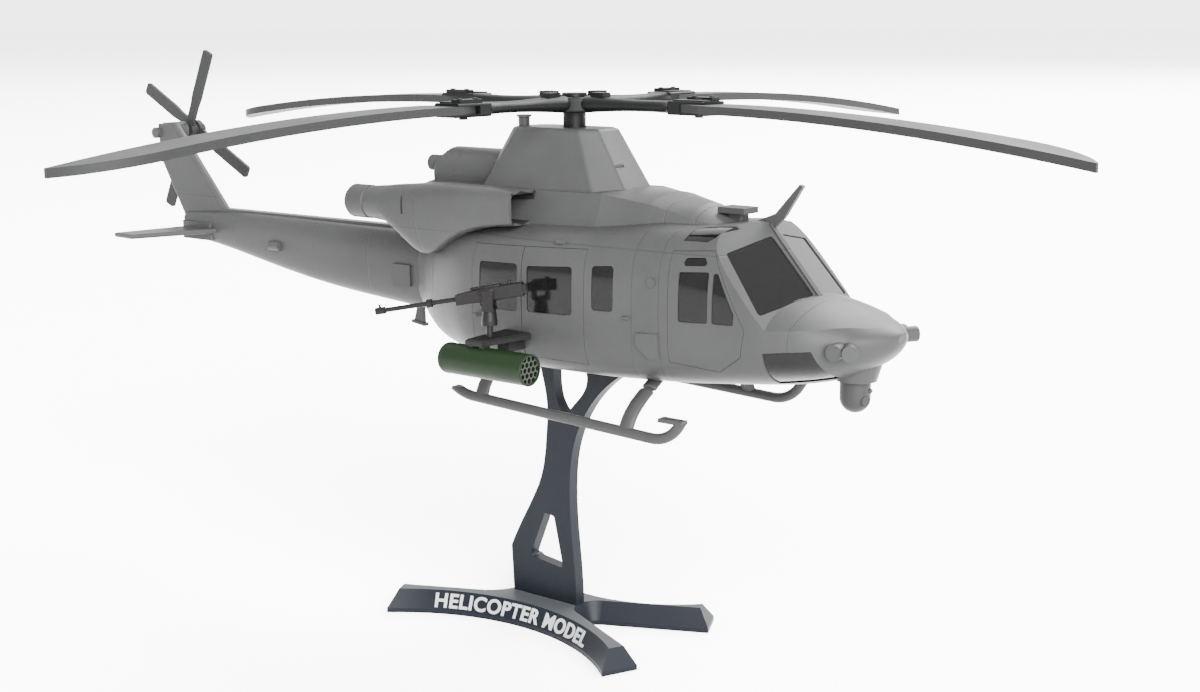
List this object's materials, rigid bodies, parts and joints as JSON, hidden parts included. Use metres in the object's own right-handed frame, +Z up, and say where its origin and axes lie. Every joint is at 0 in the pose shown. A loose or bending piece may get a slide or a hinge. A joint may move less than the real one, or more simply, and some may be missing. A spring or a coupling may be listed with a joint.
{
  "type": "helicopter display model",
  "caption": "Scale model of a twin-engine utility helicopter with skids, side pods and turning rotors, resting on a forked display stand with a splayed base.",
  "frame": {"origin": "on the table, straight below the main rotor shaft", "axes": "+X towards the nose, +Y to the model's left side, +Z up"},
  "size_m": [0.3632, 0.3066, 0.1618],
  "materials": {
    "stand": "satin moulded dark blue-grey",
    "screw_steel": "plain",
    "window_tint": "smoked clear",
    "airframe_grey": "satin painted grey",
    "interior_dark": "flat",
    "antenna_pale": "flat",
    "cutter_dark": "flat",
    "pod_olive": "satin",
    "pod_face": "flat",
    "gun_brown": "satin",
    "turret_black": "satin",
    "lens_glass": "polished",
    "rotor_dark": "satin"
  },
  "bodies": {
    "stand": {"stand_base": "stand", "stand_upright": "stand", "stand_screws": "screw_steel"},
    "airframe": {"windscreen_panes": "window_tint", "roof_windows": "window_tint", "chin_windows": "window_tint", "cockpit_door_windows": "window_tint", "cabin_windows": "window_tint", "fuselage_shell": "airframe_grey", "cockpit_door_right": "airframe_grey", "cockpit_door_left": "airframe_grey", "cabin_door_right": "airframe_grey", "cabin_door_left": "airframe_grey", "windscreen_post": "airframe_grey", "cowling": "airframe_grey", "pylon_fairing": "airframe_grey", "gearbox_lobe": "airframe_grey", "nacelle_right": "airframe_grey", "nacelle_left": "airframe_grey", "tail_fin": "airframe_grey", "tail_gearbox": "airframe_grey", "tail_boom": "airframe_grey", "spine_cover": "airframe_grey", "stabiliser": "airframe_grey", "skid_right": "airframe_grey", "skid_left": "airframe_grey", "skid_legs_front": "airframe_grey", "skid_legs_rear": "airframe_grey", "hatch_covers": "airframe_grey", "side_fittings": "airframe_grey", "turret_mount": "airframe_grey", "nose_sensors": "airframe_grey", "weapon_arm_right": "airframe_grey", "weapon_arm_left": "airframe_grey", "exhaust_pipes": "airframe_grey", "mast_post": "airframe_grey", "cabin_tub": "interior_dark", "pilot_seats": "interior_dark", "instrument_panel": "interior_dark", "roof_antenna": "antenna_pale", "wire_cutter": "cutter_dark", "pod_tube_right": "pod_olive", "pod_tube_left": "pod_olive", "pod_bulkheads": "pod_face"},
    "main_rotor": {"rotor_mast": "rotor_dark", "rotor_hub": "rotor_dark", "main_blade_1": "rotor_dark", "main_blade_2": "rotor_dark", "main_blade_3": "rotor_dark", "main_blade_4": "rotor_dark", "blade_bolts": "rotor_dark"},
    "tail_rotor": {"tail_blades_inner": "rotor_dark", "tail_blades_outer": "rotor_dark", "tail_rotor_shaft": "rotor_dark"},
    "gun_mount_right": {"gun_cradle_right": "gun_brown"},
    "gun_mount_left": {"gun_cradle_left": "gun_brown"},
    "gun_right": {"door_gun_right": "gun_brown"},
    "gun_left": {"door_gun_left": "gun_brown"},
    "turret": {"turret_head": "turret_black", "turret_lenses": "lens_glass"}
  },
  "joints": [
    {"name": "lift_off", "type": "slide", "parent": "stand", "child": "airframe", "axis": [0, 0, 1], "range_m": [0, 0.04]},
    {"name": "main_rotor_spin", "type": "hinge", "parent": "airframe", "child": "main_rotor", "pos_m": [0, 0, 0.1491], "axis": [0, 0, 1], "continuous": true},
    {"name": "tail_rotor_spin", "type": "hinge", "parent": "airframe", "child": "tail_rotor", "pos_m": [-0.1832, 0.0144, 0.1345], "axis": [0, 1, 0], "continuous": true},
    {"name": "gun_turn_right", "type": "hinge", "parent": "airframe", "child": "gun_mount_right", "pos_m": [0.0009, -0.037, 0.094], "axis": [0, 0, 1], "range_deg": [-30, 30]},
    {"name": "gun_turn_left", "type": "hinge", "parent": "airframe", "child": "gun_mount_left", "pos_m": [0.0009, 0.037, 0.094], "axis": [0, 0, 1], "range_deg": [-30, 30]},
    {"name": "gun_tilt_right", "type": "hinge", "parent": "gun_mount_right", "child": "gun_right", "pos_m": [0.0009, -0.037, 0.1017], "axis": [-0.5, 0.866, 0], "range_deg": [-15, 15]},
    {"name": "gun_tilt_left", "type": "hinge", "parent": "gun_mount_left", "child": "gun_left", "pos_m": [0.0009, 0.037, 0.1017], "axis": [0.5, 0.866, 0], "range_deg": [-15, 15]},
    {"name": "turret_turn", "type": "hinge", "parent": "airframe", "child": "turret", "pos_m": [0.0883, 0, 0.0839], "axis": [0, 0, 1], "range_deg": [-90, 90]}
  ]
}
